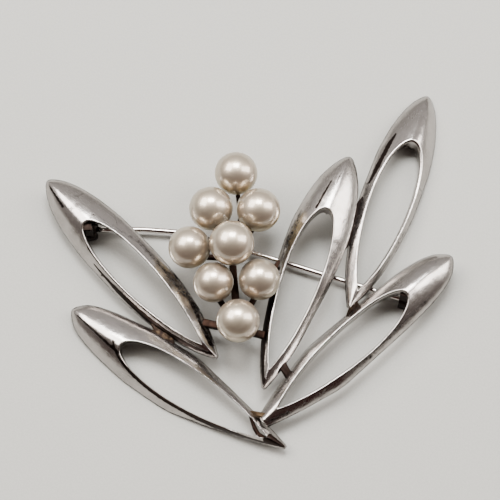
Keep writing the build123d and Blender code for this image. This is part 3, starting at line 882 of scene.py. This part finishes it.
def tube(name, path, radii, material):
    """A closed round tube along points, with its own radius at each one."""
    points = []
    for row, (spot, radius) in enumerate(zip(path, radii)):
        ahead = path[min(row + 1, len(path) - 1)] - path[max(row - 1, 0)]
        ahead.normalize()
        level = Z.cross(ahead).normalized()
        points += ring(spot, level, ahead.cross(level), radius, PIN_SIDES)
    return mesh_piece(name, points, tube_faces(len(path), PIN_SIDES), material)


# The wire starts inside the eye and is straight for a little way.
path = [hinge_centre + X * 0.75, hinge_centre + X * 2.5]
path += round_corner(hinge_centre, first_bend, second_bend, PIN_BEND_RADIUS, 5)
path += round_corner(first_bend, second_bend, pin_shoulder, PIN_BEND_RADIUS, 8)
run_start = path[-1].copy()
path += [run_start.lerp(pin_shoulder, step / PIN_STEPS) for step in range(1, PIN_STEPS + 1)]
radii = [PIN_RADIUS] * len(path)
for step in range(1, POINT_STEPS + 1):
    path.append(pin_shoulder.lerp(pin_end, step / POINT_STEPS))
    radii.append(PIN_RADIUS * (1 - POINT_TAPER * (step / POINT_STEPS) ** 1.2))
pin = tube("pin_wire", path, radii, wire_silver)
print("pin wire:", len(pin.data.polygons), "faces")

# %% The pin's eye and its rivet
DISC_SIDES = 48


def disc(name, centre, profile, material, bored):
    """A turned piece on a Y axis, from distances along Y and radii. A bored one joins up round its hole."""
    points = []
    for along, radius in profile:
        points += ring(centre + Y * along, X, Z, radius, DISC_SIDES)
    return mesh_piece(name, points, tube_faces(len(profile), DISC_SIDES, joined=bored), material)


def mirrored(profile):
    """A whole profile from its half on the positive side."""
    return [(-along, radius) for along, radius in profile] + list(reversed(profile))


EYE_ROUND = 0.15
face = EYE_WIDTH / 2
eye = disc("pin_eye", hinge_centre, mirrored([
    (face, RIVET_RADIUS + 0.05), (face, EYE_RADIUS - EYE_ROUND),
    (face - EYE_ROUND * 0.3, EYE_RADIUS - EYE_ROUND * 0.3), (face - EYE_ROUND, EYE_RADIUS),
]), painted_shade_silver, True)
sharp_over(eye, 50)

# The rivet's domed head: how far each ring stands out from the lug, and its radius.
RIVET_HEAD = ((0.3, 0.12), (0.28, 0.4), (0.2, 0.62), (0.08, 0.73), (0.0, 0.74), (0.0, RIVET_RADIUS))
lug_face = EYE_WIDTH / 2 + LUG_GAP + LUG_WIDTH
head = [(lug_face + 0.02 + out, radius) for out, radius in RIVET_HEAD]
rivet = disc("rivet_head", hinge_centre, mirrored(head), painted_shade_silver, False)
sharp_over(rivet, 60)
print("eye and rivet:", len(eye.data.polygons), "and", len(rivet.data.polygons), "faces")

# %% The hinge's lugs and plate, and the catch
PLATE_BEVEL = 0.08
PLATE_DEPTH = 0.6
PLATE_BACK, PLATE_FRONT = -1.0, 0.5  # from the rivet, along the pin
CROWN_SHARE = 0.9  # the dome's height over the pin's ends, as a share of LEAF_DOME


def plate(name, outline, origin, right, up, out, thick, material):
    """A flat plate with softened edges: an outline in its own two directions, and a thickness."""
    work = bmesh.new()
    low = [work.verts.new((origin + right * x + up * y) * MM) for x, y in outline]
    high = [work.verts.new((origin + right * x + up * y + out * thick) * MM) for x, y in outline]
    work.faces.new(low)
    work.faces.new(high)
    for row in range(len(outline)):
        after = (row + 1) % len(outline)
        work.faces.new((low[row], low[after], high[after], high[row]))
    bmesh.ops.recalc_face_normals(work, faces=work.faces)
    rims = [e for e in work.edges if e.calc_face_angle() > 0.6]
    bmesh.ops.bevel(work, geom=rims, offset=PLATE_BEVEL * MM, segments=2, affect="EDGES", profile=0.5)
    piece = worked_piece(name, work, material)
    sharp_over(piece, 40)
    return piece


def arc(radius, first, last, steps):
    """Points on an arc round 0, between two angles in degrees."""
    turns = [radians(first + (last - first) * step / steps) for step in range(steps + 1)]
    return [(radius * cos(turn), radius * sin(turn)) for turn in turns]


def roof_over_pin(leaf, share):
    """How far over the pin's middle line the inside of a leaf's face is."""
    return leaf_spot(leaf, share, 0, 0).z + CROWN_SHARE * LEAF_DOME - LEAF_WALL - PIN_HEIGHT


# A lug is round about the rivet and goes straight up into the leaf.
lug_top = roof_over_pin("upper_left", HINGE_SHARE - 0.03)
lug_line = [(0.6, lug_top), (0.62, 1.05)] + arc(LUG_RADIUS, 60, -180, 24) + [(-LUG_RADIUS, lug_top)]
hinge_parts = []
for side, name in ((-1, "hinge_lug_front"), (1, "hinge_lug_back")):
    near = side * (lug_face - LUG_WIDTH / 2) - LUG_WIDTH / 2
    hinge_parts.append(plate(name, lug_line, hinge_centre + Y * near, X, Z, Y, LUG_WIDTH, painted_shade_silver))
base_line = [(PLATE_BACK, -lug_face), (PLATE_FRONT, -lug_face)]
base_line += [(PLATE_FRONT, lug_face), (PLATE_BACK, lug_face)]
base = hinge_centre + Z * (lug_top + 0.05 - PLATE_DEPTH)
hinge_parts.append(plate("hinge_plate", base_line, base, X, Y, Z, PLATE_DEPTH, painted_shade_silver))

# The hook is open downwards, with a shank up into the leaf.
pin_level = Vector((-pin_run.y, pin_run.x, 0))
outside = HOOK_INSIDE + HOOK_WALL
shank = roof_over_pin("lower_right", CATCH_SHARE)
foot = 0.02 - PIN_HEIGHT
hook_line = [(-HOOK_INSIDE, foot), (-outside, foot)] + arc(outside, 180, 122, 8)
hook_line += [(-HOOK_WALL, shank), (HOOK_WALL, shank)] + arc(outside, 58, 0, 8)
hook_line += [(outside, foot), (HOOK_INSIDE, foot)] + arc(HOOK_INSIDE, 0, 180, 20)
hook_start = catch_centre - pin_run * (HOOK_WIDTH / 2)
hook = plate("catch_hook", hook_line, hook_start, pin_level, Z, pin_run, HOOK_WIDTH, painted_shade_silver)
print("hinge plates and catch:", len(hinge_parts) + 1)

# %% [markdown]
# ## Cultured pearls
# Nacre is thousands of thin layers of shell. Light comes back from all of them, so a pearl shows the
# window twice: a wide soft glow in its own cream, and over it a small sharp one. The finish is a
# blurred cream mirror under a clear coat, with a trace of rose sheen, and its colour is yellower
# towards the bottom, more on some pearls than on others. No pearl is a perfect ball: each mesh is
# pressed a little out of round, with the faint rings that grow with it.

# %% Pearl finish
def pearl_finish():
    """A blurred cream mirror, yellower towards the bottom, under a clear coat."""
    material, add, surface = start_material("cream_nacre")
    place = add("ShaderNodeTexCoord")["Object"]
    wide, fine = [add("ShaderNodeTexNoise", {
        "Vector": place, "Scale": 1 / (size_mm * MM), "Detail": detail, "Roughness": strength,
    })["Fac"] for size_mm, detail, strength in ((5.0, 2.0, 0.5), (0.35, 3.0, 0.6))]
    share = add("ShaderNodeMapRange", (wide, 0.35, 0.65))[0]
    cream = {0: share, 6: colour("#b0a492"), 7: colour("#aa9a8a")}
    cream = add("ShaderNodeMix", cream, data_type="RGBA")[2]
    yellow_low_down = add("ShaderNodeAttribute", attribute_name="yellow_low_down")["Fac"]
    warm = add("ShaderNodeMix", {0: yellow_low_down, 6: cream, 7: colour("#a99566")}, data_type="RGBA")[2]
    soft = add("ShaderNodeMapRange", (fine, 0.3, 0.7, 0.35, 0.39))[0]
    bump = {"Height": fine, "Strength": 0.05, "Distance": RELIEF_MM * MM}
    bump = add("ShaderNodeBump", bump)["Normal"]
    fill(surface, {
        "Base Color": warm, "Metallic": 0.87, "Roughness": soft, "Normal": bump, "IOR": 1.6,
        "Specular Tint": colour("#c2cab4"), "Coat Weight": 1.0, "Coat Roughness": 0.10, "Coat IOR": 1.85,
        "Sheen Weight": 0.08, "Sheen Tint": colour("#f3cfc2"),
    })
    return material


nacre = pearl_finish()
print("pearl finish:", nacre.name)

# %% Pearls
PEARL_CUTS = 23
PEARL_UNEVEN = 0.012  # how far out of round, as a share of the radius
RING_STEPS = 22
RING_HEIGHT = 0.0006
PEARL_FIT = 0.992  # keeps the skin just inside the exact pearl


def make_pearl(name, order, material):
    """A cube sphere, a little out of round, with faint growth rings."""
    radius = pearl_radius(name)
    centre = seat_point(name) + Z * radius
    work = bmesh.new()
    bmesh.ops.create_cube(work, size=2)
    bmesh.ops.subdivide_edges(work, edges=work.edges[:], cuts=PEARL_CUTS, use_grid_fill=True)
    axis = Vector((sin(order * 2.1), cos(order * 1.3), 0.6)).normalized()
    yellow_low_down = []
    for vert in work.verts:
        ray = vert.co.normalized()
        uneven = noise.noise(ray * 0.9 + X * (order * 3.7)) * PEARL_UNEVEN
        pole = ray.dot(axis)
        ring = sin(pole * RING_STEPS) * RING_HEIGHT * ease(0.3, 0.8, abs(pole))
        vert.co = (centre + ray * radius * (PEARL_FIT + min(0.007, uneven) + ring)) * MM
        # Each pearl turns yellower towards its bottom, by its row's share.
        yellow_low_down.append(PEARLS[name]["yellow_low_down"] * ease(0.6, -0.3, ray.z))
    piece = worked_piece(name + "_skin", work, material)
    piece.data.attributes.new("yellow_low_down", "FLOAT", "POINT").data.foreach_set("value", yellow_low_down)
    return piece


pearl_pieces = [make_pearl(name, order, nacre) for order, name in enumerate(PEARLS)]
print("pearls:", len(pearl_pieces), "of", len(pearl_pieces[0].data.polygons), "faces")

# %% [markdown]
# ## What each piece stands for
# Each visual piece rides on a body of the exact model and takes the place of its solid.

# %% Bodies and nodes
for piece in (*leaf_pieces, stem, cups, rods, fillets, *hinge_parts, hook):
    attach(piece, "spray")
    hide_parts("leaf_spray")
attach(rivet, "spray")
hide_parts("hinge_rivet")
for piece in (pin, eye):
    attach(piece, "pin")
    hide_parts("pin_stem")
for name, piece in zip(PEARLS, pearl_pieces):
    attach(piece, "spray")
    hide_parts(name)

# %% [markdown]
# ## Table, light and camera
# The brooch lies on matt white card. Three windows light it: one high up behind it, one to its left and
# a lower one to its right. Polished silver shows the whole room, so the surroundings matter as much as
# the lamps: pale walls behind and beside it, a duller ceiling, and the dark side where the photographer
# stands.

# %% Card
FIBRE_MM = 0.3  # real paper fibres are ten times finer, too fine to show here


def card_finish():
    """Matt card: short paper fibres that catch no gloss, only a little shade."""
    material, add, surface = start_material("matt_white_card")
    place = add("ShaderNodeTexCoord")["Object"]
    fibre = {"Vector": place, "Scale": 1 / (FIBRE_MM * MM), "Detail": 4.0, "Roughness": 0.75}
    fibre = add("ShaderNodeTexNoise", fibre)["Fac"]
    tone = {0: fibre, 6: colour("#8d8d89"), 7: colour("#a5a4a0")}
    tone = add("ShaderNodeMix", tone, data_type="RGBA")[2]
    bump = {"Height": fibre, "Strength": 0.5, "Distance": 0.05 * MM}
    bump = add("ShaderNodeBump", bump)["Normal"]
    fill(surface, {"Base Color": tone, "Roughness": 0.9, "Normal": bump})
    return material


CARD_REACH = 2000
corners = [(x * CARD_REACH, y * CARD_REACH, 0) for x, y in ((-1, -1), (1, -1), (1, 1), (-1, 1))]
table = mesh_piece("table_card", corners, [(0, 1, 2, 3)], card_finish(), closed=False)
print("card:", 2 * CARD_REACH, "mm wide")

# %% Window light
WINDOW_DISTANCE = 0.5
# For each window: degrees above the table, degrees round from straight behind to the right, width and
# height in metres, power in watts, and colour.
WINDOWS = {
    "window_middle": (67, 4, 0.24, 0.175, 5.7, "#fdfdfb"),
    "window_left": (52, -62, 0.34, 0.28, 4.4, "#fffaf4"),
    "window_right": (38, 78, 0.22, 0.42, 3.5, "#fffaf4"),
}
for name, (elevation, azimuth, width, height, power, tint) in WINDOWS.items():
    light = bpy.data.lights.new(name, "AREA")
    light.shape = "RECTANGLE"
    light.size, light.size_y = width, height
    light.energy = power
    light.color = colour(tint)[:3]
    lamp = put_in_scene(name, light)
    rise, turn = radians(elevation), radians(azimuth)
    way = Vector((sin(turn) * cos(rise), cos(turn) * cos(rise), sin(rise)))
    lamp.location = way * WINDOW_DISTANCE
    lamp.rotation_euler = way.to_track_quat("Z", "Y").to_euler()
    print(name, power, "watts")

# %% Surroundings
def surroundings():
    """A room painted on the sky: walls, ceiling, a grey front and the dark photographer."""
    world = bpy.data.worlds.new("room")
    bpy.context.scene.world = world
    world.use_nodes = True
    add = partial(add_node, world.node_tree)
    way = add("ShaderNodeTexCoord")["Generated"]
    x, y, z = add("ShaderNodeSeparateXYZ", (way,))
    flat = add("ShaderNodeCombineXYZ", (x, y))[0]
    level = add("ShaderNodeVectorMath", (flat,), operation="NORMALIZE")[0]
    behind = add("ShaderNodeSeparateXYZ", (level,))["Y"]

    # Shades laid over each other, each from where it starts to where it covers: the ceiling, the foot of
    # the walls and the grey front. The photographer is the dark patch low in the front.
    shade = colour("#f4efea")
    for place, start, full, code in (
        (z, 0.25, 0.75, "#d8cfca"),
        (z, 0.35, 0.0, "#aaa29c"),
        (behind, 0.25, -0.25, "#8f8580"),
    ):
        share = add("ShaderNodeMapRange", (place, start, full))[0]
        shade = add("ShaderNodeMix", {0: share, 6: shade, 7: colour(code)}, data_type="RGBA")[2]
    front = add("ShaderNodeMapRange", (behind, -0.35, -0.65))[0]
    low = add("ShaderNodeMapRange", (y, -0.07, -0.17))[0]
    share = add("ShaderNodeMath", (front, low), operation="MULTIPLY")[0]
    shade = add("ShaderNodeMix", {0: share, 6: shade, 7: colour("#43241f")}, data_type="RGBA")[2]
    fill(world.node_tree.nodes["Background"], {"Color": shade, "Strength": 0.84})


surroundings()
print("world:", bpy.context.scene.world.name)

# %% Camera
CAMERA_TARGET = (0, 1.4, 4.0)
CAMERA_TILT = 70  # degrees above the table
CAMERA_DISTANCE = 300
VIEW_ANGLE = 13.8  # degrees across the picture
SENSOR_WIDTH = 36
tilt = radians(CAMERA_TILT)
camera_data = bpy.data.cameras.new("camera")
camera_data.sensor_width = SENSOR_WIDTH
camera_data.lens = SENSOR_WIDTH / (2 * tan(radians(VIEW_ANGLE) / 2))
camera_data.clip_start = 0.01
camera = put_in_scene("camera", camera_data)
place = Vector(CAMERA_TARGET) + Vector((0, -cos(tilt), sin(tilt))) * CAMERA_DISTANCE
camera.location = place * MM
camera.rotation_euler = (radians(90) - tilt, 0, 0)
bpy.context.scene.camera = camera
print("lens:", round(camera_data.lens, 1), "mm")
